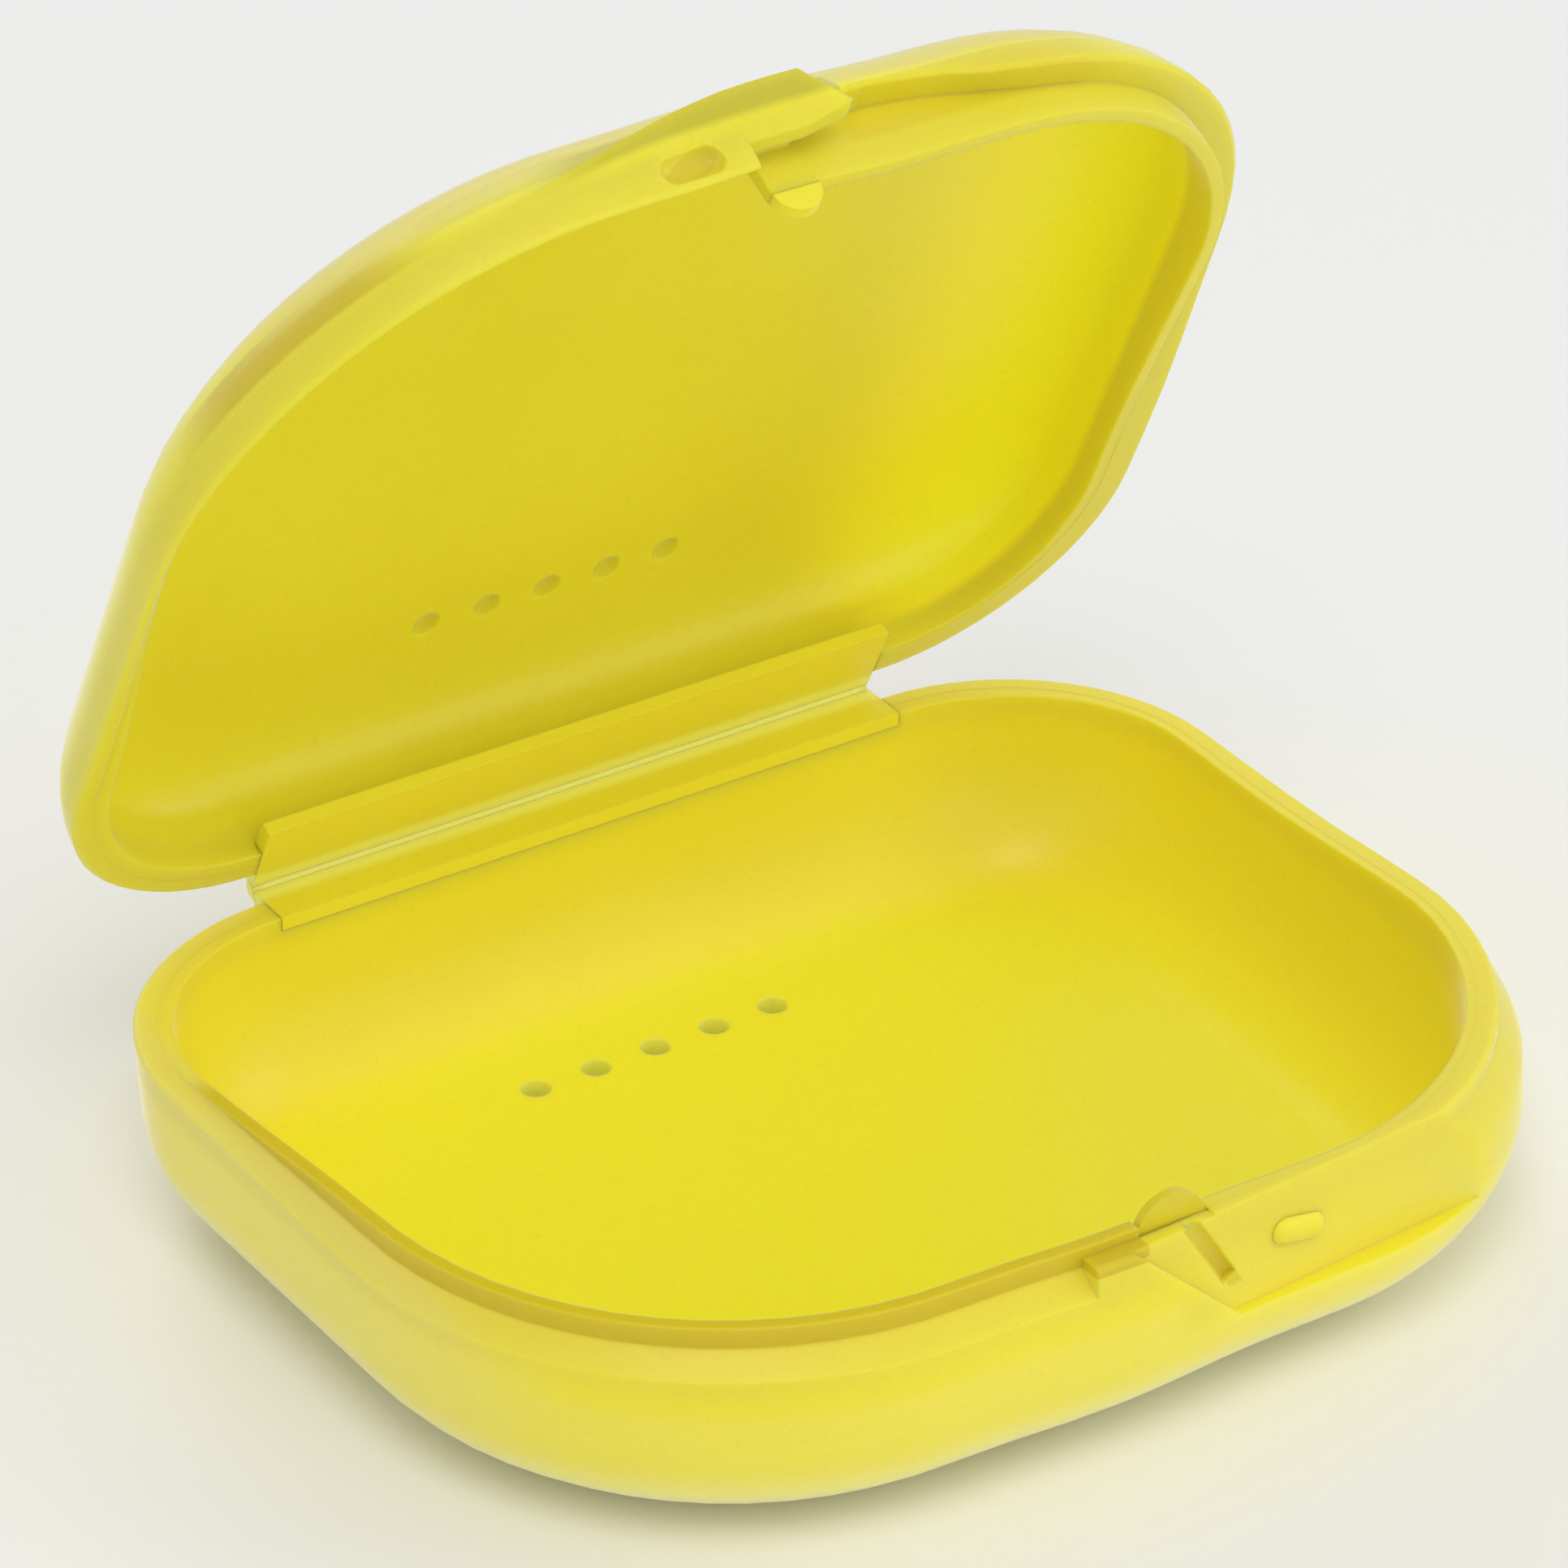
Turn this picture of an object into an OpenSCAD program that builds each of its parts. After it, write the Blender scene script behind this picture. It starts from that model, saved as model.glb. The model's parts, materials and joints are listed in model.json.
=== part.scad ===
// Hinged clamshell retainer case: a pillow-shaped base and lid with rounded corners,
// interlocking rims, a thin folding hinge along the back and a row of vents in each half.
// Millimetres. X runs along the hinge, the hinge is at the back (+Y), the latch at the front (-Y),
// Z is up and the base stands on z = 0. The lid is drawn open.

/* [Outline] */
// Width across the rim at the hinge side
case_w = 80; // [74:0.5:110]
// Width across the rim at the front
front_w = 79; // [73:0.5:110]
// Depth of the rim from the back edge to the front edge
case_d = 64.5; // [50:0.5:95]
// Radius of the two corners beside the hinge
back_r = 15.8; // [14:0.1:20]
// Radius of the front corner to the left of the latch
front_r = 27.5; // [22:0.1:28.5]
// Radius of the front corner to the right of the latch
right_r = 24.5; // [22:0.1:26]
// How far the front edge bows forward at its middle
front_bow = 0.6; // [0.2:0.1:1.2]

/* [Shells] */
// Height of the side of the base, from its rounded edge to the rim plane
base_side = 6.1; // [4.8:0.1:12]
// Height of the side of the lid, from the rim plane to its rounded edge
lid_side = 0.9; // [0.4:0.1:6]
// Height of the rounded lower edge of the base
base_round_up = 8.4; // [6:0.1:12]
// Height of the rounded upper edge of the lid
lid_round_up = 9.1; // [7:0.1:12]
// Width of the rounded lower edge of the base
base_round_in = 9.6; // [8:0.1:12]
// Width of the rounded upper edge of the lid
lid_round_in = 12; // [9:0.1:12.5]
// How far the walls lean inward over each millimetre away from the rim plane
lean = 0.06; // [0:0.01:0.08]
// How far the front of the base swells forward below the rim
front_swell = 0.5; // [0:0.1:1.2]
// How far the right side of the base swells out at its front corner
side_swell = 2.2; // [0:0.1:2.5]
// Radius of the base's right front corner where it has swelled out
swell_r = 24; // [21:0.1:26]
// How far the front of the lid swells forward above the rim
lid_swell = 0.5; // [0:0.1:1]
// How far the right side of the lid swells out at its front corner
lid_side_swell = 1; // [0:0.1:2]
// Radius of the lid's right front corner above the rim
lid_r = 27.4; // [22:0.1:28]
// Depth over which the shells swell out
swell_run = 6; // [3:0.1:8]
// Thickness of the flat floor of each shell
floor_t = 1.6; // [1:0.05:2.2]
// How much further from the side the flat floor begins inside than outside
floor_in = 0.8; // [0.2:0.1:1.6]
// Width of the rim and of the upper part of the side walls
rim_w = 2.5; // [2.4:0.05:3.2]

/* [Interlocking rim] */
// Height of the base's lip above the rim plane, to the left of the latch
lap = 1.9; // [1.2:0.05:2]
// How far the lid's skirt reaches below the rim plane
skirt_down = 0.6; // [0.3:0.05:1]
// How far the shoulder below the lip has risen above the rim plane where it meets the lip
shoulder_up = 0.4; // [0:0.05:0.7]
// Distance of the joint between lip and skirt from the outer face
lap_in = 1.5; // [1.3:0.05:1.55]
// Height of the base's rim above the rim plane, to the right of the latch
right_up = 1.35; // [0.8:0.05:1.6]
// How much narrower the base's rim is there
right_thin = 0.4; // [0:0.05:0.6]
// How far the lid's lip reaches below the rim plane there
lip_down = 1; // [0.5:0.05:1.4]
// Thickness of the lid's lip
lip_t = 1; // [0.9:0.05:1.2]
// Distance from the back edge at which the lips begin
lap_start = 12; // [8:0.5:18]
// Length over which they grow to their full height
lap_grow = 30; // [12:0.5:30]
// Distance from the back edge at which the base's rim begins to rise on the right
right_start = 22; // [12:0.5:26]
// Length over which it rises there
right_grow = 24; // [12:0.5:26]
// Running gap between the two rims
gap = 0.2; // [0.15:0.01:0.3]
// Width of the broken outer edge of the rims
edge_in = 0.25; // [0.15:0.05:0.5]
// Distance of the front block's left end from the middle
block_off = 3.6; // [2.8:0.1:6]
// Height of the front block above the rim plane
block_up = 1.2; // [0.8:0.05:1.3]

/* [Latch] */
// Radius of the round head of the base's latch tongue
tongue_r = 2.6; // [2:0.05:2.65]
// Distance of the base's latch tongue from the middle
tongue_off = 0.4; // [0.2:0.05:0.8]
// Height above the rim plane at which the tongue's round head begins
tongue_up = 0.6; // [0.2:0.05:0.7]
// Radius of the round head of the lid's latch tongue
hook_r = 1.7; // [1.2:0.05:1.8]
// Distance of the left end of the lid's latch tongue from the middle
hook_off = 2.6; // [2:0.1:2.7]
// Length over which the rims narrow to the right of the latch
latch_run = 6; // [4:0.5:6]
// Length over which the pocket for the tongue runs out to the right
notch_run = 14; // [8:0.5:18]
// Height of the finger recess below the rim plane
recess_down = 6.5; // [5:0.1:7]
// Distance from the middle of the recess's slanted left end at the rim plane
recess_x = 0.4; // [0.2:0.1:2.6]
// Width of the slant from the rim plane to the bottom of the recess
recess_slant = 7; // [5:0.1:7]
// Depth of the recess at the rim, behind the foremost point of the front
recess_in = 0.5; // [0.3:0.05:0.7]
// Angle by which the recess's face leans out downward
recess_lean = 0; // [0:0.5:4]
// Angle by which the recess's face turns back towards the right
recess_turn = 4.5; // [1:0.1:5]
// Radius of the groove beside the slant
groove_r = 0.6; // [0.4:0.05:0.8]
// Distance of the groove's upper end from the middle
groove_x = 3.7; // [3.2:0.1:5]
// Height over which the groove runs down
groove_down = 5.2; // [4:0.1:5.6]
// How far the groove runs to the right on its way down
groove_slant = 3.3; // [2:0.1:4]
// Length of the oval bump and the oval dimple
oval_w = 4.2; // [3:0.1:5]
// Height of the oval bump and the oval dimple
oval_h = 1.9; // [1.2:0.1:2.2]
// How far the oval bump stands out
oval_out = 0.6; // [0.3:0.05:0.8]
// Distance of the oval bump from the middle of the front
oval_x = 12.4; // [10:0.1:14]
// Angle by which the oval bump is tilted down to the right
oval_tilt = 13; // [0:1:20]
// Distance of the oval bump below the rim plane
oval_down = 2.6; // [2:0.1:4]
// Reach of the grip pad on the lid to the left of the middle
pad_w = 21; // [14:0.5:24]
// Length over which the pad rises to its full height
pad_rise = 18; // [12:0.5:20]
// Height of the grip pad above the rim plane
pad_up = 4.7; // [4:0.1:5.2]
// How far the pad's upper edge stands out from the front edge of the rim
pad_out = 1.1; // [0.9:0.05:1.5]
// Distance of the pad's highest point from the middle
pad_peak = 1.3; // [0.8:0.1:1.6]
// Distance of the pad's right tip from the middle
tip_x = 4; // [2.5:0.1:4.4]
// Height of the pad's right tip above the rim plane
tip_up = 2; // [1.6:0.1:2.6]
// Distance of the oval dimple in the pad from the middle of the front
dimple_x = 7.8; // [6:0.1:10]
// Distance of the dimple above the rim plane
dimple_up = 1; // [0.8:0.1:2.6]

/* [Hinge] */
// Angle between the lid and its closed place in the drawn pose
lid_open = 63.5; // [20:0.5:150]
// Distance of the hinge line behind the back edge of the rims
hinge_off = 1.4; // [1:0.05:2]
// Distance of each end of the hinge from the start of the rounded corner
hinge_end = 0.2; // [0.1:0.1:6]
// Thickness of the hinge strips
strip_t = 1; // [0.9:0.05:1.3]
// Depth of the lid's hinge strip in front of the back edge
lid_strip_d = 4.7; // [3:0.1:6]
// Thickness of the folding film
film_t = 0.4; // [0.25:0.05:0.5]
// Distance of the ends of the hinge strips from the hinge line
film_end = 0.2; // [0.1:0.05:0.4]

/* [Vents] */
// Number of vents in each half
vent_n = 5; // [1:1:7]
// Distance from one vent to the next
vent_pitch = 4.6; // [3.5:0.1:6]
// Diameter of a vent
vent_d = 2; // [1:0.1:2.6]
// Distance of the base's row from the back edge
vent_back = 11.8; // [11.6:0.1:25]
// Distance of the lid's row from the back edge
lid_vent_back = 10.4; // [10.2:0.1:25]
// How far the base's row lies to the left of the middle
vent_left = 1.5; // [0:0.1:4]

/* [Hidden] */
plastic = [0.93, 0.85, 0.25];
eps = 0.02;
arc_n = 15;
side_n = 5;
round_n = 9;
base_h = base_side + base_round_up;
lid_h = lid_side + lid_round_up;
back_y = case_d / 2;
front_y = back_y - case_d;
nose_y = front_y - front_bow;
flat_x = front_w / 2 - front_r;
hinge_x = case_w / 2 - back_r - hinge_end;
hinge_y = back_y + hinge_off;
half_gap = gap / 2;
film_r = half_gap + strip_t / 2;
tongue_x = tongue_off + tongue_r;
tongue_end = tongue_off + 2 * tongue_r;
pocket_up = tongue_up + tongue_r + gap;
lip_x = (block_off + hook_off) / 2;

// Smooth step from 0 to 1
function smooth(t) = t <= 0 ? 0 : t >= 1 ? 1 : t * t * (3 - 2 * t);

// Growth of the lips from the back corners to the front
function grow(y) = smooth((back_y - y - lap_start) / lap_grow);
function rise(y) = smooth((back_y - y - right_start) / right_grow);

// Widening of the lid's rim and narrowing of the base's, complete where the lips begin
function widen(y) = smooth((back_y - y) / lap_start);

// Narrowing of the rims to the right of the latch
function past(x) = smooth((x - tongue_end) / latch_run);

// Whether a station lies under a hinge strip
function at_hinge(x, y) = abs(x) < hinge_x && y > 0;

// Heights of the base's rim above the rim plane: at its outer face, at the joint and inside it
function base_outer(x, y) =
    at_hinge(x, y) ? -strip_t - half_gap :
    x < -block_off ? -skirt_down * grow(y) - half_gap :
    x < tongue_end ? block_up - half_gap : right_up * rise(y) - half_gap;
function base_root(x, y) =
    !at_hinge(x, y) && x < -block_off ? shoulder_up * grow(y) - half_gap : base_outer(x, y);
function base_inner(x, y) =
    !at_hinge(x, y) && x < tongue_off ? lap * grow(y) - half_gap :
    !at_hinge(x, y) && x < tongue_end ? tongue_up : base_outer(x, y);

// The same heights of the lid, measured from its own top and so downward when closed
function lid_outer(x, y) =
    at_hinge(x, y) ? -strip_t - half_gap :
    x < -block_off - gap ? skirt_down * grow(y) - half_gap :
    x < tongue_off - gap ? -lap - half_gap :
    x < tongue_end + gap ? -pocket_up :
    -(right_up + (pocket_up - right_up) * smooth(1 - (x - tongue_end) / notch_run)) * rise(y) - half_gap;
function lid_root(x, y) =
    !at_hinge(x, y) && x < -block_off - gap ? -shoulder_up * grow(y) - half_gap : lid_outer(x, y);
function lid_inner(x, y) =
    at_hinge(x, y) ? -strip_t - half_gap :
    x < -hook_off ? -lap * grow(y) - half_gap : lip_down * rise(y) - half_gap;

// Distances of the joint and of the inner edge from the outer face
function base_joint(x) = x < tongue_end ? lap_in + half_gap : lap_in - half_gap;
function base_edge(x, y) = rim_w - (x < tongue_end ? 0 : right_thin * past(x) * widen(y));
function lid_joint(x) = x < -lip_x ? lap_in - half_gap : rim_w + gap - right_thin * past(x);
function lid_edge(x, y) =
    x < -lip_x ? rim_w : rim_w + (gap + lip_t - right_thin * past(x)) * widen(y);

// Stations along the front and the back, with one on either side of each step
function split(x) = [x - eps, x + eps];
right_xs = [tongue_end + latch_run / 3, tongue_end + latch_run * 2 / 3, tongue_end + latch_run];
base_xs = concat([-(block_off + flat_x) / 2], split(-block_off), split(tongue_off), [tongue_x],
                 split(tongue_end), right_xs);
lid_xs = concat([-(block_off + flat_x) / 2], split(-block_off - gap), split(-lip_x), split(-hook_off),
                split(tongue_off - gap), [tongue_x], split(tongue_end + gap), right_xs);
back_xs = concat(split(-hinge_x), [-hinge_x / 2, 0, hinge_x / 2], split(hinge_x));
function falling(xs) = [for (i = [len(xs) - 1 : -1 : 0]) xs[i]];

// Points along one arc, from angle a to angle b
function arc(cx, cy, r, a, b) =
    [for (i = [0 : arc_n]) let (t = a + (b - a) * i / arc_n) [cx + r * cos(t), cy + r * sin(t)]];

// Points between two points, both ends left out
function between(p, q, n) = [for (i = [1 : n - 1]) p + (q - p) * i / n];

// Front edge of the rim at x, inset by d
function front_at(x, d = 0) = front_y + d - front_bow * (1 + cos(180 * x / flat_x)) / 2;

// Plan of a shell inset by d, with the front moved out by f, the right side by w
// and the radius r at the front corner to the right
function plan(d, f, w, r, xs) =
    let (wb = case_w / 2, wf = front_w / 2, fy = front_y - f,
         a = arc(back_r - wb, back_y - back_r, back_r - d, 90, 180),
         b = arc(front_r - wf, fy + front_r, front_r - d, 180, 270),
         c = [for (x = xs) [x, front_at(x, d) - f]],
         e = arc(wf + w - r, fy + r, r - d, 270, 360),
         g = arc(wb - back_r, back_y - back_r, back_r - d, 0, 90),
         k = [for (x = falling(back_xs)) [x, back_y - d]])
    concat(a, between(a[arc_n], b[0], side_n), b, c, e, between(e[arc_n], g[0], side_n), g, k);

// Closed solid through a stack of rings, each with the same number of points
module loft(rings, flip = false) {
    n = len(rings[0]);
    m = len(rings);
    spin = floor(arc_n / 2);
    pts = [for (r = rings, p = r) p];
    faces = concat(
        [[for (i = [0 : n - 1]) (i + spin) % n]],
        [for (k = [0 : m - 2], i = [0 : n - 1]) let (j = (i + 1) % n)
            [k * n + i, (k + 1) * n + i, (k + 1) * n + j]],
        [for (k = [0 : m - 2], i = [0 : n - 1]) let (j = (i + 1) % n)
            [k * n + i, (k + 1) * n + j, k * n + j]],
        [[for (i = [n - 1 : -1 : 0]) (m - 1) * n + (i + spin) % n]]);
    turned = [for (f = faces) falling(f)];
    polyhedron(pts, flip ? turned : faces);
}

// One shell: up the rounded outside, over the two rim zones and down the inside. up and across
// are the height and width of its rounded edge, and out is its plan where it has swelled out.
// side is 1 for the base and -1 for the lid, whose z runs down from its top.
module shell(h, up, across, out, xs, side) {
    rim = plan(0, 0, 0, right_r, xs);
    n = len(rim);
    ids = [0 : n - 1];
    inward = plan(1, 0, 0, right_r, xs) - rim;
    swell = out - rim;
    outer = [for (p = rim) side > 0 ? base_outer(p[0], p[1]) : lid_outer(p[0], p[1])];
    root = [for (p = rim) side > 0 ? base_root(p[0], p[1]) : lid_root(p[0], p[1])];
    level_in = [for (p = rim) side > 0 ? base_inner(p[0], p[1]) : lid_inner(p[0], p[1])];
    inner = [for (i = ids) abs(level_in[i] - root[i]) < eps ? root[i] - eps : level_in[i]];
    joint = [for (p = rim) side > 0 ? base_joint(p[0]) : lid_joint(p[0])];
    edge = [for (p = rim) side > 0 ? base_edge(p[0], p[1]) : lid_edge(p[0], p[1])];
    deep = edge_in + gap - min(-lap, min(outer), min(inner));
    turn = [for (k = [0 : round_n]) 90 * k / round_n];

    // Share of the swelling, and the outer face's inset, at depth t below the rim plane
    function share(t) = 1 - pow(1 - min(max(t, 0) / swell_run, 1), 3);
    function bent(t) = t > h - up ? across * (1 - sqrt(max(1 - pow((t - h + up) / up, 2), 0))) : 0;
    function face(t) = lean * max(t, 0) + bent(t);
    function spot(i, d, t, g) = let (q = rim[i] + inward[i] * d + swell[i] * g)
        [q[0], q[1], side > 0 ? h - t : base_h + t];
    function skin(i, t) = spot(i, face(t), t, share(t));
    function lining(i, a) = spot(i, edge[i] + (across + floor_in - edge[i]) * (1 - sin(a)),
                                 h - floor_t - (h - floor_t - deep) * (1 - cos(a)), 0);

    loft(concat(
        [for (a = turn) let (t = h - up * (1 - cos(a))) if (t > deep + gap) [for (i = ids) skin(i, t)]],
        [for (f = [0, 1 / 4, 1 / 2, 3 / 4, 1])
            [for (i = ids) skin(i, deep * (1 - f) + (edge_in - outer[i]) * f)]],
        [[for (i = ids) spot(i, face(edge_in - outer[i]) + edge_in, -outer[i], share(edge_in - outer[i]))],
         [for (i = ids) spot(i, joint[i], -root[i], 0)], [for (i = ids) spot(i, joint[i], -inner[i], 0)],
         [for (i = ids) spot(i, edge[i], -inner[i], 0)]],
        [for (k = [round_n : -1 : 0]) [for (i = ids) lining(i, turn[k])]]),
        side < 0);
}

// A row of upright vent cutters with its middle at x and y
module vents(x, y, z) {
    for (i = [0 : vent_n - 1])
        translate([x + (i - (vent_n - 1) / 2) * vent_pitch, y, z])
            cylinder(d = vent_d, h = 3 * floor_t, $fn = 24);
}

// Puts its children on the recess's face: x to the right, y inward, z up from the rim plane
module on_recess() {
    translate([0, nose_y + recess_in, base_h])
        rotate([-recess_lean, 0, recess_turn])
            children();
}

// Finger recess with a slanted left end and a groove beside the slant
module recess() {
    on_recess() {
        rotate([90, 0, 0])
            linear_extrude(front_w)
                polygon([[recess_x - 2 * lap * recess_slant / recess_down, 2 * lap],
                         [recess_x + recess_slant, -recess_down],
                         [front_w, -recess_down], [front_w, 2 * lap]]);
        translate([groove_x, 0, block_up])
            rotate([0, 90 + atan2(groove_down, groove_slant), 0])
                cylinder(r = groove_r, h = norm([groove_down, groove_slant]), $fn = 20);
    }
}

// Lying capsule whose middle reaches out by oval_out at -Y and is oval_w by oval_h in the plane y = 0
module oval() {
    r = (pow(oval_h / 2, 2) + pow(oval_out, 2)) / (2 * oval_out);
    half = (oval_w - oval_h) / 2;
    translate([0, r - oval_out, 0]) {
        translate([-half, 0, 0])
            rotate([0, 90, 0])
                cylinder(r = r, h = 2 * half, $fn = 32);
        for (x = [-half, half])
            translate([x, 0, 0])
                sphere(r = r, $fn = 32);
    }
}

module base_shell() {
    color(plastic) difference() {
        shell(base_h, base_round_up, base_round_in, plan(0, front_swell, side_swell, swell_r, base_xs),
              base_xs, 1);
        recess();
        vents(-vent_left, back_y - vent_back, -eps);
    }
}

module base_oval_bump() {
    color(plastic) on_recess()
        translate([oval_x, 0, -oval_down])
            rotate([0, oval_tilt, 0])
                difference() {
                    oval();
                    translate([-oval_w, 0, -oval_w])
                        cube(2 * oval_w);
                }
}

// Round head of a latch tongue, standing up from z = 0 at x between the insets d0 and d1
module head(x, r, d0, d1) {
    y0 = max(front_at(x - r), front_at(x + r)) + d0 + eps;
    y1 = min(front_at(x - r), front_at(x + r)) + d1 - eps;
    translate([x, y1, 0])
        intersection() {
            rotate([90, 0, 0])
                cylinder(r = r - 2 * eps, h = y1 - y0, $fn = 48);
            translate([-case_w, -case_w, 0])
                cube(2 * case_w);
        }
}

module base_latch_tongue() {
    color(plastic) translate([0, 0, base_h + tongue_up])
        head(tongue_x, tongue_r, lap_in + half_gap, rim_w);
}

module base_hinge_strip() {
    color(plastic) translate([2 * eps - hinge_x, back_y - rim_w, base_h - half_gap - strip_t])
        cube([2 * (hinge_x - 2 * eps), rim_w + hinge_off - film_end, strip_t]);
}

// Side of the film: from the base's strip around the hinge line to the lid's strip
module film_side() {
    r_in = film_r - film_t / 2;
    r_out = film_r + film_t / 2;
    function turned(p) =
        [p[0] * cos(lid_open) + p[1] * sin(lid_open), p[1] * cos(lid_open) - p[0] * sin(lid_open)];
    polygon(concat([[-film_end, -r_out]], arc(0, 0, r_out, -90, 90 - lid_open),
                   [turned([-film_end, r_out]), turned([-film_end, r_in])],
                   arc(0, 0, r_in, 90 - lid_open, -90), [[-film_end, -r_in]]));
}

module hinge_film() {
    color(plastic) translate([2 * eps - hinge_x, hinge_y, base_h])
        rotate([90, 0, 90])
            linear_extrude(2 * (hinge_x - 2 * eps))
                film_side();
}

// Opens its children, drawn closed, about the hinge line
module opened() {
    translate([0, hinge_y, base_h])
        rotate([-lid_open, 0, 0])
            translate([0, -hinge_y, -base_h])
                children();
}

// Grip pad on the left half of the lid's front, with a slanted right end that comes to a tip
module pad() {
    lower = block_up + half_gap + eps;
    back = lap_in - half_gap - gap;
    low_x = [for (i = [0 : 13]) -pad_w + (pad_w + tongue_off) * i / 13];
    top_x = concat([for (i = [0 : 12]) -pad_w + (pad_w + pad_peak) * i / 12], [tip_x]);
    function top_z(x) = x > pad_peak + eps ? tip_up :
        lower + block_up + (pad_up - lower - block_up) * smooth((x + pad_w) / pad_rise);
    function edge_y(x) = x < -flat_x ?
        front_y + front_r - sqrt(pow(front_r, 2) - pow(x + flat_x, 2)) : front_at(x);
    function out(x) = pad_out * smooth((x + pad_w) / (pad_w - dimple_x)) * top_z(x) / pad_up;
    loft([for (i = [0 : len(low_x) - 1]) let (a = low_x[i], b = top_x[i])
        [[a, edge_y(a), base_h + lower], [a, edge_y(a) + back, base_h + lower],
         [b, edge_y(b) + back, base_h + top_z(b)], [b, edge_y(b) - out(b), base_h + top_z(b)]]]);
}

module lid_shell() {
    color(plastic) opened()
        difference() {
            union() {
                shell(lid_h, lid_round_up, lid_round_in,
                      plan(0, lid_swell, lid_side_swell, lid_r, lid_xs), lid_xs, -1);
                pad();
            }
            translate([-dimple_x, front_at(-dimple_x), base_h + dimple_up])
                mirror([0, 1, 0])
                    oval();
            vents(0, back_y - lid_vent_back, base_h + lid_h - 3 * floor_t + eps);
        }
}

module lid_latch_tongue() {
    color(plastic) opened()
        translate([0, 0, base_h - lip_down + half_gap])
            mirror([0, 0, 1])
                head(hook_r - hook_off, hook_r, rim_w + gap, rim_w + gap + lip_t);
}

module lid_hinge_strip() {
    color(plastic) opened()
        translate([2 * eps - hinge_x, back_y - lid_strip_d, base_h + half_gap])
            cube([2 * (hinge_x - 2 * eps), lid_strip_d + hinge_off - film_end, strip_t]);
}

base_shell();
base_hinge_strip();
base_latch_tongue();
base_oval_bump();
lid_shell();
lid_hinge_strip();
lid_latch_tongue();
hinge_film();
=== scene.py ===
import bpy, json, math
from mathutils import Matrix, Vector


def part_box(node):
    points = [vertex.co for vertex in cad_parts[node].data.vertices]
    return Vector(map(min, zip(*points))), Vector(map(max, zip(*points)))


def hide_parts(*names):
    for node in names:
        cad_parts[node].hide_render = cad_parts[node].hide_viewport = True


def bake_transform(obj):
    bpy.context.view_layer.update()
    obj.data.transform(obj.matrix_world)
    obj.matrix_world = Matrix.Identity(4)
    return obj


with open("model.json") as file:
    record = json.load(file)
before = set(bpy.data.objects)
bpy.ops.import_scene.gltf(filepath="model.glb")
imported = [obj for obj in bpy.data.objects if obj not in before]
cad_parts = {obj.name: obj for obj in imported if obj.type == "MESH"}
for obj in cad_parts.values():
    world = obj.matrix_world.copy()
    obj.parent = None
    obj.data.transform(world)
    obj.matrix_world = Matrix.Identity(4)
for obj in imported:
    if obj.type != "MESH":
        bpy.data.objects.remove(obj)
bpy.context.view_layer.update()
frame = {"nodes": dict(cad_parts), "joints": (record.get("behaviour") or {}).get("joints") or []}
nodes = frame["nodes"]
joint = frame["joints"][0]
scene = bpy.context.scene

# The hinge line in metres, and how far the lid stands open in the photo
HINGE_Y, HINGE_Z = joint["pos_m"][1], joint["pos_m"][2]
LID_OPEN = math.radians(63.5)
OPEN_COS, OPEN_SIN = math.cos(LID_OPEN), math.sin(LID_OPEN)

# Half the width and depth of the hollow in millimetres
HALF_X, HALF_Y = 36, 29

# The row of five vents in the base's floor in millimetres
VENT_X, VENT_Y, VENT_PITCH, VENT_RADIUS = -1.5, 20.45, 4.6, 1.0

# The dimple in the lid's pad in millimetres: middle, half lengths and slant
DIMPLE_X, DIMPLE_Z, DIMPLE_LONG, DIMPLE_HIGH, DIMPLE_SLANT = -7.8, 1.0, 2.1, 0.9, 0.3

# Plain tones of the plastic, each with the deeper one of its clouds
YELLOW, SHADE = (0.89, 0.80, 0.043), (0.86, 0.76, 0.035)
# The lid's tone is the same plastic painted darker: painted shade over the whole lid
LID_SHADED_YELLOW, LID_SHADE = (0.83, 0.775, 0.040), (0.80, 0.735, 0.033)
# The latch tongue's tone is painted darker: painted shade on the thick tongue
LATCH_SHADED_YELLOW, LATCH_SHADE = (0.76, 0.655, 0.032), (0.72, 0.61, 0.027)
# The film's tone is paler where the plastic is thin, with a painted highlight along the fold
FILM_YELLOW_AND_HIGHLIGHT, FILM_SHADE = (0.97, 0.94, 0.20), (0.95, 0.92, 0.17)

# Tones that stay with one place, all painted light and shade: painted shade, deeper in grooves, hollows and
# where walls lie thick or double, and painted light, sheen and reflection, paler where faces catch the light
PAINTED_SHADE = (0.69, 0.575, 0.024)
PAINTED_VENT_LIGHT = (1.0, 0.97, 0.16)
PAINTED_FLOOR_LIGHT = (1.0, 0.875, 0.045)
BASE_WALL_REFLECTION = (0.89, 0.80, 0.085)
BASE_WALL_LEFT_REFLECTION = (0.89, 0.80, 0.15)
BASE_WALL_LOW_LIGHT = (0.99, 0.95, 0.42)
BASE_RECESS_SHADE = (0.81, 0.725, 0.055)
BASE_RIM_SHADE = (0.79, 0.70, 0.055)
BASE_RIM_LEFT_SHEEN = (0.80, 0.72, 0.15)
BASE_LIP_SHADE = (0.64, 0.52, 0.018)
LID_RIM_SHADE = (0.745, 0.68, 0.046)
LID_WEDGE_SHADE = (0.64, 0.505, 0.018)
LID_CREAM_SHEEN = (0.76, 0.67, 0.12)
LID_SHOULDER_SHADE = (0.68, 0.61, 0.045)
LID_RIGHT_LIGHT = (1.0, 0.91, 0.025)
LID_CREST_SHADE = (0.54, 0.49, 0.030)

# In metres: how far light runs under the surface, and how far the shading rounds an edge
SHELL_DEPTH, SMALL_DEPTH = 0.0014, 0.0005
SHELL_EDGE, STRIP_EDGE, SMALL_EDGE, FILM_EDGE = 0.0003, 0.00015, 0.00012, 0.0001

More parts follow.
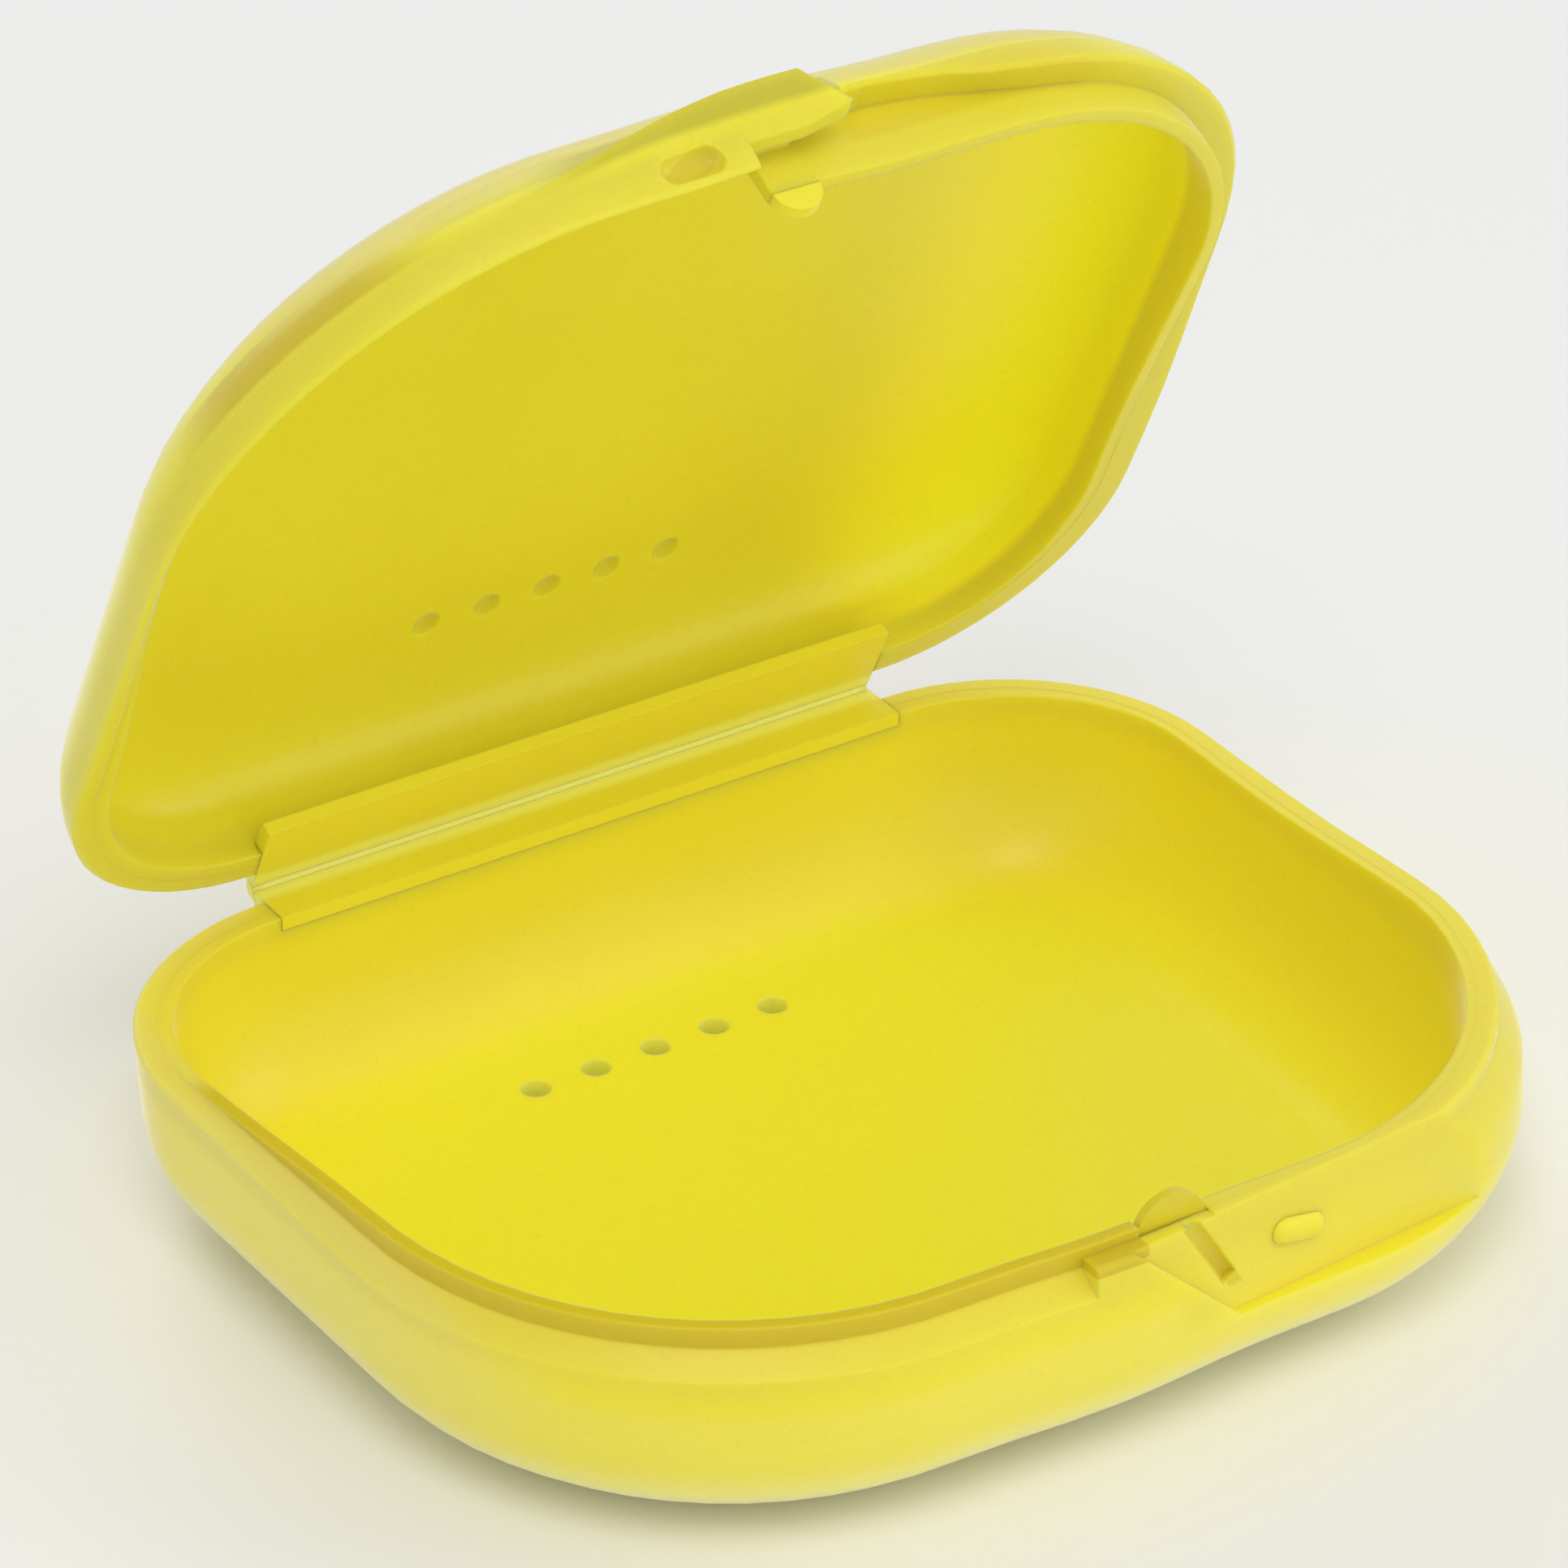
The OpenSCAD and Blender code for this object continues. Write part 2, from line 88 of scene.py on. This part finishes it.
# The film in metres: its thickness and the flat at each strip
FILM_THICK, FILM_FLAT = 0.0004, 0.0002


def node_input(node, name, value):
    node.inputs[name].default_value = value


class Graph:
    """Short hands for the nodes of a plastic and for its masks. A mask is a number from 0 to 1, worked out from
    the place on the part in millimetres or from the way its surface faces."""

    def __init__(self, tree):
        self.tree = tree
        coord = self.node("ShaderNodeTexCoord")
        self.object, self.normal = coord.outputs["Object"], coord.outputs["Normal"]

    def node(self, kind, **settings):
        made = self.tree.nodes.new(kind)
        for name, value in settings.items():
            setattr(made, name, value)
        return made

    def link(self, source, socket):
        self.tree.links.new(source, socket)

    def noise(self, scale, detail, roughness=0.5, stretch=None):
        made = self.node("ShaderNodeTexNoise")
        node_input(made, "Scale", scale)
        node_input(made, "Detail", detail)
        node_input(made, "Roughness", roughness)
        source = self.object
        if stretch:
            turn = self.node("ShaderNodeMapping")
            node_input(turn, "Scale", stretch)
            node_input(turn, "Rotation", (0.3, 0.5, 0.7))
            self.link(source, turn.inputs["Vector"])
            source = turn.outputs["Vector"]
        self.link(source, made.inputs["Vector"])
        return made.outputs["Fac"]

    def ramp(self, value, low, high, start, end, kind="LINEAR"):
        made = self.node("ShaderNodeMapRange", interpolation_type=kind)
        node_input(made, "From Min", low)
        node_input(made, "From Max", high)
        node_input(made, "To Min", start)
        node_input(made, "To Max", end)
        self.link(value, made.inputs["Value"])
        return made.outputs["Result"]

    def bump(self, height, strength, distance, normal):
        made = self.node("ShaderNodeBump")
        node_input(made, "Strength", strength)
        node_input(made, "Distance", distance)
        self.link(height, made.inputs["Height"])
        self.link(normal, made.inputs["Normal"])
        return made.outputs["Normal"]

    def measure(self):
        """The masks start from the place on the part in millimetres."""
        scale = self.node("ShaderNodeVectorMath", operation="SCALE")
        node_input(scale, "Scale", 1000)
        self.link(self.object, scale.inputs[0])
        self.place = scale.outputs["Vector"]

    def close(self):
        """From here on the place has the lid turned back to closed, with z from the rim plane."""
        turn = self.node("ShaderNodeMapping")
        y, z = HINGE_Y * 1000, HINGE_Z * 1000
        node_input(turn, "Rotation", (LID_OPEN, 0, 0))
        node_input(turn, "Location", (0, y - (y * OPEN_COS - z * OPEN_SIN), -(y * OPEN_SIN + z * OPEN_COS)))
        self.link(self.place, turn.inputs["Vector"])
        self.place = turn.outputs["Vector"]

    def split(self, vector):
        made = self.node("ShaderNodeSeparateXYZ")
        self.link(vector, made.inputs[0])
        return made.outputs[0], made.outputs[1], made.outputs[2]

    def faces(self, x, y, z):
        """1 where the lid's surface faces this way, given for the closed lid."""
        dot = self.node("ShaderNodeVectorMath", operation="DOT_PRODUCT")
        dot.inputs[1].default_value = (x, y * OPEN_COS + z * OPEN_SIN, z * OPEN_COS - y * OPEN_SIN)
        self.link(self.normal, dot.inputs[0])
        return self.step(dot.outputs["Value"], -0.05, 0.3)

    def outward(self, x, y):
        """1 where an upright wall of the base faces away from the middle."""
        across, along, _ = self.split(self.normal)
        across = self.times(across, self.over(x, HALF_X))
        along = self.times(along, self.over(y, HALF_Y))
        return self.step(self.plus(across, along), 0.05, 0.35)

    def op(self, kind, *values):
        made = self.node("ShaderNodeMath", operation=kind)
        for socket, value in zip(made.inputs, values):
            if isinstance(value, (int, float)):
                socket.default_value = value
            else:
                self.link(value, socket)
        return made.outputs[0]

    def plus(self, a, b):
        return self.op("ADD", a, b)

    def minus(self, a, b):
        return self.op("SUBTRACT", a, b)

    def times(self, a, b):
        return self.op("MULTIPLY", a, b)

    def over(self, a, b):
        return self.op("DIVIDE", a, b)

    def squares(self, a, b):
        return self.plus(self.times(a, a), self.times(b, b))

    def distance(self, a, b):
        return self.op("SQRT", self.squares(a, b))

    def fourth(self, a, half):
        return self.op("POWER", self.op("ABSOLUTE", self.over(a, half)), 4)

    def step(self, value, low, high):
        """Smooth step from 0 at low to 1 at high; low may be the larger."""
        if high > low:
            return self.ramp(value, low, high, 0.0, 1.0, "SMOOTHSTEP")
        return self.ramp(value, high, low, 1.0, 0.0, "SMOOTHSTEP")

    def both(self, *masks):
        """The product of two or more masks."""
        product = masks[0]
        for mask in masks[1:]:
            product = self.times(product, mask)
        return product

    def band(self, value, middle, half, soft):
        return self.both(self.step(value, middle - half - soft, middle - half),
                         self.step(value, middle + half + soft, middle + half))

    def vents(self, x, y):
        """1 inside each hole of the row of five vents."""
        near = self.op("WRAP", self.minus(x, VENT_X), VENT_PITCH / 2, -VENT_PITCH / 2)
        inside = self.step(self.distance(near, self.minus(y, VENT_Y)), VENT_RADIUS + 0.12, VENT_RADIUS)
        return self.both(inside, self.band(x, VENT_X, 2.5 * VENT_PITCH - 0.4, 0.2))

    def mix(self, under, color, share, blend="MIX"):
        """Lays a plain colour over another colour; share is a number's output."""
        made = self.node("ShaderNodeMix", data_type="RGBA", blend_type=blend)
        made.inputs["B"].default_value = (*color, 1)
        self.link(share, made.inputs["Factor"])
        if isinstance(under, tuple):
            made.inputs["A"].default_value = (*under, 1)
        else:
            self.link(under, made.inputs["A"])
        return made.outputs["Result"]

    def lay(self, under, mask, color, share=1.0):
        return self.mix(under, color, self.times(mask, share))


def frosted(name, color, deep, rough=0.36, grain=0.22, depth=SMALL_DEPTH, paint=None, inside=0.2,
            edge=SMALL_EDGE):
    """Frosted, slightly translucent moulded plastic with a fine grain, soft clouds of tone and faint rubbing
    marks. paint gives tones that stay with the part: painted light and shade, such as painted shade in grooves
    and on thick or doubled walls, and painted light and sheen in the vents and where faces catch the light.
    inside is how much of the light goes under the surface."""
    mat = bpy.data.materials.new(name)
    mat.use_nodes = True
    mat.node_tree.nodes.clear()
    g = Graph(mat.node_tree)
    bsdf = g.node("ShaderNodeBsdfPrincipled", subsurface_method="RANDOM_WALK")
    node_input(bsdf, "IOR", 1.5)
    node_input(bsdf, "Specular IOR Level", 0.36)
    node_input(bsdf, "Subsurface Weight", inside)
    node_input(bsdf, "Subsurface Radius", (1.0, 0.85, 0.15))
    node_input(bsdf, "Subsurface Scale", depth)
    node_input(bsdf, "Sheen Weight", 0.85)
    node_input(bsdf, "Sheen Roughness", 0.22)
    node_input(bsdf, "Sheen Tint", (1.0, 0.97, 0.85, 1.0))

    # Colour: soft clouds of a slightly deeper tone, the painted light and shade of the places, and specks of
    # the grain
    tone = g.mix(color, deep, g.ramp(g.noise(38, 3), 0.35, 0.68, 0.0, 1.0))
    if paint:
        g.measure()
        tone = paint(g, tone)
    specks = g.ramp(g.noise(2600, 2, 0.6), 0.55, 0.75, 0.0, 0.5)
    g.link(g.mix(tone, (0.93, 0.92, 0.86), specks, "MULTIPLY"), bsdf.inputs["Base Color"])

    # Roughness: frosted, a little smoother where handling has rubbed it
    rub = g.ramp(g.noise(120, 4, 0.6), 0.4, 0.7, rough, rough + 0.09)
    marks = g.ramp(g.noise(300, 2, 0.5, (1, 14, 14)), 0.66, 0.72, 0.0, -0.07)
    g.link(g.plus(rub, marks), bsdf.inputs["Roughness"])

    # Relief: mould grain over faint waves of the wall, over softened edges
    bevel = g.node("ShaderNodeBevel", samples=6)
    node_input(bevel, "Radius", edge)
    wave = g.bump(g.noise(55, 1), 0.12, 0.0006, bevel.outputs["Normal"])
    relief = g.bump(g.noise(3800, 3, 0.6), grain, 0.00004, wave)
    g.link(relief, bsdf.inputs["Normal"])
    g.link(bsdf.outputs["BSDF"], g.node("ShaderNodeOutputMaterial").inputs["Surface"])
    return mat


def fold_thin_and_highlight(g, tone):
    """Paler where the plastic thins towards the hinge line, with a painted highlight along the fold."""
    x, y, z = g.split(g.place)
    away = g.distance(g.minus(y, HINGE_Y * 1000), g.minus(z, HINGE_Z * 1000))
    return g.lay(tone, g.step(away, 1.9, 0.8), FILM_YELLOW_AND_HIGHLIGHT, 0.9)


def base_tones(g, tone):
    """Painted light and shade on the base: painted shade on the rim, on the lip to the left of the latch, in
    the finger recess and in the groove; painted light on the floor of the hollow, low on the outside and in the
    vents;
    painted reflection paler on the outside."""
    tone = fold_thin_and_highlight(g, tone)
    x, y, z = g.split(g.place)

    # Painted light: the hollow painted brightest in the middle of the floor, up to a height that falls to the
    # right
    round_floor = g.step(g.plus(g.fourth(x, HALF_X), g.fourth(y, HALF_Y)), 1.2, 0.35)
    height = g.minus(z, g.times(g.step(x, 14, 32), 7))
    tone = g.lay(tone, g.both(round_floor, g.step(height, 9, 2)), PAINTED_FLOOR_LIGHT)

    # Painted reflection: the outside painted paler, more so to the left; painted light from below towards the
    # low edge
    outside = g.outward(x, y)
    tone = g.lay(tone, g.both(outside, g.step(z, 12, 10)), BASE_WALL_REFLECTION)
    tone = g.lay(tone, g.both(outside, g.step(x, -33, -39)), BASE_WALL_LEFT_REFLECTION, 0.8)
    tone = g.lay(tone, g.both(outside, g.step(z, 7.5, 1)), BASE_WALL_LOW_LIGHT, 0.85)

    # Painted shade in the finger recess and its slanted groove
    recess = g.both(g.step(x, 1.5, 4), g.step(y, -22, -28), g.step(z, 7.5, 10))
    tone = g.lay(tone, recess, BASE_RECESS_SHADE, 0.7)
    groove_x = g.op("MULTIPLY_ADD", g.minus(15.14, z), 0.642, 4.12)
    groove = g.both(g.band(g.minus(x, groove_x), 0, 0.45, 0.2), g.step(z, 9.6, 10.2),
                    g.step(y, -30.6, -31.0))
    tone = g.lay(tone, groove, PAINTED_SHADE, 0.8)

    # Painted shade on the rim, with a painted sheen on it at the left, and on the lip that stands above it to
    # the left of the latch
    rim = g.step(z, 11.5, 14.0)
    tone = g.lay(tone, rim, BASE_RIM_SHADE, 0.8)
    tone = g.lay(tone, g.both(g.step(x, -36, -38.5), rim), BASE_RIM_LEFT_SHEEN, 0.8)
    edge = g.minus(z, g.times(g.step(y, 20, -8), 0.35))
    lip = g.both(g.step(edge, 14.46, 14.62), g.step(x, 0.6, 0.3), g.step(y, 31, 24))
    tone = g.lay(tone, lip, BASE_LIP_SHADE, 0.95)

    # Painted light in the vents
    return g.lay(tone, g.both(g.vents(x, y), g.step(z, 1.9, 1.5)), PAINTED_VENT_LIGHT)


def lid_tones(g, tone):
    """Painted light and shade on the lid: painted shade on the rim, where skirt and wall lie double at the left
    corner, along the pad, on the ledge and in the dimple; painted sheen above the wedge; painted light on the
    inside at the right.
    """
    tone = fold_thin_and_highlight(g, tone)
    g.close()
    x, y, z = g.split(g.place)
    # Painted shade on the rim
    tone = g.lay(tone, g.step(z, 3.4, 1.4), LID_RIM_SHADE, 0.85)

    # The outside at the left front corner: painted shade in a wedge over the rim where skirt and wall lie
    # double, a painted cream sheen above it, and painted shade on the pad's shoulder
    left_front = (-0.5, -0.86, 0)
    along = g.minus(x, y)
    wedge = g.both(g.band(z, 3.6, 1.1, 0.5), g.step(along, -25, -15), g.step(along, 8, -3),
                   g.step(x, -15, -24), g.step(y, -8, -15), g.faces(*left_front))
    tone = g.lay(tone, wedge, LID_WEDGE_SHADE, 0.9)
    cream = g.both(g.step(z, 3.7, 4.6), g.step(y, -17, -25), g.faces(0, -0.7, 0.7))
    tone = g.lay(tone, cream, LID_CREAM_SHEEN, 0.8)
    shoulder = g.both(g.band(z, 4.4, 0.7, 0.6), g.step(x, -27, -22), g.step(x, -11.5, -13.5),
                      g.step(y, -27.5, -29), g.faces(*left_front))
    tone = g.lay(tone, shoulder, LID_SHOULDER_SHADE, 0.7)

    # Painted light: the inside at the right painted brighter
    right = g.both(g.step(x, 16, 34), g.step(z, 1.6, 2.6), g.faces(-0.7, 0, -0.7))
    tone = g.lay(tone, right, LID_RIGHT_LIGHT, 0.95)

    # Painted shade on the ledge beside the latch and along the crest of the pad
    ledge = g.both(g.step(x, 4.0, 5.0), g.step(x, 26, 20), g.step(z, 0.9, 1.5), g.step(z, 3.9, 3.6),
                   g.step(y, -28.5, -29.2))
    tone = g.lay(tone, ledge, PAINTED_SHADE, 0.55)
    top = g.minus(z, g.step(x, -21, -8))
    crest = g.both(g.step(top, 1.7, 2.4), g.step(y, -30.9, -31.3), g.step(x, -19, -12),
                   g.step(x, 4.4, 3.9))
    tone = g.lay(tone, crest, LID_CREST_SHADE, 0.85)

    # Painted shade in the dimple, a slanted oval
    dx, dz = g.plus(x, -DIMPLE_X), g.minus(z, DIMPLE_Z)
    c, s = math.cos(DIMPLE_SLANT), math.sin(DIMPLE_SLANT)
    off = g.over(g.plus(g.times(dx, c), g.times(dz, s)), DIMPLE_LONG)
    up = g.over(g.minus(g.times(dz, c), g.times(dx, s)), DIMPLE_HIGH)
    return g.lay(tone, g.both(g.step(g.squares(off, up), 1.15, 0.7), g.step(y, -31.2, -31.8)), PAINTED_SHADE, 0.7)


base_plastic = frosted("frosted_base", YELLOW, SHADE, depth=SHELL_DEPTH, paint=base_tones, inside=0.8,
                       edge=SHELL_EDGE)
lid_plastic = frosted("frosted_lid", LID_SHADED_YELLOW, LID_SHADE, depth=SHELL_DEPTH, paint=lid_tones, inside=0.8,
                      edge=SHELL_EDGE)
fine = frosted("frosted_fittings", YELLOW, SHADE)
fold = frosted("frosted_strips", YELLOW, SHADE, rough=0.34, paint=fold_thin_and_highlight, edge=STRIP_EDGE)
latch = frosted("frosted_latch", LATCH_SHADED_YELLOW, LATCH_SHADE, rough=0.34)
thin = frosted("frosted_film", FILM_YELLOW_AND_HIGHLIGHT, FILM_SHADE, rough=0.30, grain=0.12, inside=0.1, edge=FILM_EDGE)


def dress(obj, mat):
    """Smooth shading over the rounded walls, with the edges of the rims kept crisp."""
    obj.data.materials.clear()
    obj.data.materials.append(mat)
    for polygon in obj.data.polygons:
        polygon.use_smooth = True
    weld = obj.modifiers.new("weld", "WELD")
    weld.merge_threshold = 2e-6
    split = obj.modifiers.new("edges", "EDGE_SPLIT")
    split.split_angle = math.radians(32)
    split.use_edge_sharp = False


COATS = {"base_shell": base_plastic, "lid_shell": lid_plastic, "base_latch_tongue": latch,
         "base_hinge_strip": fold, "lid_hinge_strip": fold}
for name, obj in nodes.items():
    if name != "hinge_film":
        dress(obj, COATS.get(name, fine))


def film_ring(outer_radius):
    """The film's cross-section round the hinge line, with a short flat at each strip. Gives the outer line's
    points in order with the inner line's points back, and how many points each line has."""
    steps = 22
    lines = []
    for radius in (outer_radius, outer_radius - FILM_THICK):
        line = [(-FILM_FLAT, -radius)]
        for i in range(steps + 1):
            t = math.radians(-90) + (math.pi - LID_OPEN) * i / steps
            line.append((radius * math.cos(t), radius * math.sin(t)))
        line.append((-FILM_FLAT * OPEN_COS + radius * OPEN_SIN, FILM_FLAT * OPEN_SIN + radius * OPEN_COS))
        lines.append(line)
    outer, inner = lines
    # The hollow side of the fold is drawn nearly filled, as a soft fillet between the strips
    first, last, count = Vector(inner[0]), Vector(inner[-1]), len(inner) - 1
    inner = [tuple(Vector(p).lerp(first.lerp(last, i / count), 0.9)) for i, p in enumerate(inner)]
    return outer + inner[::-1], len(outer)


def hinge_film():
    """The folding film: a thin sheet bent round the hinge line at the angle the lid stands open."""
    low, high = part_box("hinge_film")
    outer_radius = HINGE_Z - low[2]
    ring, half = film_ring(outer_radius)
    around, lengths = len(ring), 40
    xs = [low[0] + (high[0] - low[0]) * i / lengths for i in range(lengths + 1)]
    verts = [(x, HINGE_Y + a, HINGE_Z + b) for x in xs for a, b in ring]
    faces = []
    for k in range(lengths):
        for i in range(around):
            j = (i + 1) % around
            faces.append((k * around + i, k * around + j, (k + 1) * around + j, (k + 1) * around + i))
    for k, flip in ((0, True), (lengths, False)):
        for i in range(half - 1):
            start = k * around
            quad = [start + i, start + i + 1, start + around - 2 - i, start + around - 1 - i]
            faces.append(tuple(quad[::-1] if flip else quad))
    mesh = bpy.data.meshes.new("hinge_film_sheet")
    mesh.from_pydata(verts, [], faces)
    mesh.validate()
    mesh.update()
    sheet = bpy.data.objects.new("hinge_film_sheet", mesh)
    scene.collection.objects.link(sheet)
    mesh.materials.append(thin)
    for polygon in mesh.polygons:
        polygon.use_smooth = abs(polygon.normal.x) < 0.5
    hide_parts("hinge_film")
    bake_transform(sheet)


hinge_film()

# Floor
floor_mesh = bpy.data.meshes.new("floor")
floor_mesh.from_pydata([(-4, -4, 0), (4, -4, 0), (4, 4, 0), (-4, 4, 0)], [], [(0, 1, 2, 3)])
floor = bpy.data.objects.new("floor", floor_mesh)
floor.location.z = -0.0001
scene.collection.objects.link(floor)
pale = bpy.data.materials.new("pale_floor")
pale.use_nodes = True
pale_bsdf = pale.node_tree.nodes["Principled BSDF"]
node_input(pale_bsdf, "Base Color", (0.90, 0.90, 0.90, 1))
node_input(pale_bsdf, "Roughness", 0.6)
node_input(pale_bsdf, "Specular IOR Level", 0.15)
floor_mesh.materials.append(pale)

# World: plain pale light, seen as near white
world = bpy.data.worlds.new("world")
scene.world = world
world.use_nodes = True
sky = world.node_tree
sky.nodes.clear()
lit = sky.nodes.new("ShaderNodeBackground")
node_input(lit, "Color", (1, 1, 1, 1))
node_input(lit, "Strength", 0.60)
seen = sky.nodes.new("ShaderNodeBackground")
node_input(seen, "Color", (0.97, 0.97, 0.97, 1))
node_input(seen, "Strength", 1.0)
rays = sky.nodes.new("ShaderNodeLightPath")
either = sky.nodes.new("ShaderNodeMath")
either.operation = "MAXIMUM"
choice = sky.nodes.new("ShaderNodeMixShader")
sky_out = sky.nodes.new("ShaderNodeOutputWorld")
sky.links.new(rays.outputs["Is Camera Ray"], either.inputs[0])
sky.links.new(rays.outputs["Is Glossy Ray"], either.inputs[1])
sky.links.new(either.outputs[0], choice.inputs["Fac"])
sky.links.new(lit.outputs[0], choice.inputs[1])
sky.links.new(seen.outputs[0], choice.inputs[2])
sky.links.new(choice.outputs[0], sky_out.inputs["Surface"])


def area(name, place, aim, size, power, color=(1, 1, 1)):
    """A round soft lamp at place, turned towards aim."""
    light = bpy.data.lights.new(name, "AREA")
    light.shape = "DISK"
    light.size = size
    light.energy = power
    light.color = color
    lamp = bpy.data.objects.new(name, light)
    lamp.location = place
    lamp.rotation_euler = (Vector(aim) - Vector(place)).to_track_quat("-Z", "Y").to_euler()
    scene.collection.objects.link(lamp)


area("key", (-0.25, -0.35, 0.80), (0, 0, 0.02), 0.45, 2.0, (1.0, 0.98, 0.94))
area("front", (0.10, -0.90, 0.16), (0, 0, 0.03), 0.6, 1.2)
area("fill", (0.65, -0.35, 0.40), (0, 0, 0.02), 0.5, 0.9)
area("back", (0.15, 0.75, 0.55), (0, 0, 0.03), 0.5, 1.2)

# Camera at the photo's angle, with its focal length in pixels of the photo
AZIMUTH, ELEVATION, DISTANCE = math.radians(-33.0), math.radians(31.09), 0.4481
FOCAL_PIXELS, IMAGE_PIXELS, SENSOR = 8786, 1932, 36
target = Vector((-0.00007, 0.00703, 0.02815))
direction = Vector((math.sin(AZIMUTH) * math.cos(ELEVATION), -math.cos(AZIMUTH) * math.cos(ELEVATION),
                    math.sin(ELEVATION)))
camera_data = bpy.data.cameras.new("camera")
camera_data.sensor_width = SENSOR
camera_data.lens = FOCAL_PIXELS / IMAGE_PIXELS * SENSOR
camera_data.clip_start = 0.01
camera = bpy.data.objects.new("camera", camera_data)
camera.location = target + direction * DISTANCE
camera.rotation_euler = (-direction).to_track_quat("-Z", "Y").to_euler()
scene.collection.objects.link(camera)
scene.camera = camera
scene.view_settings.view_transform = "Standard"
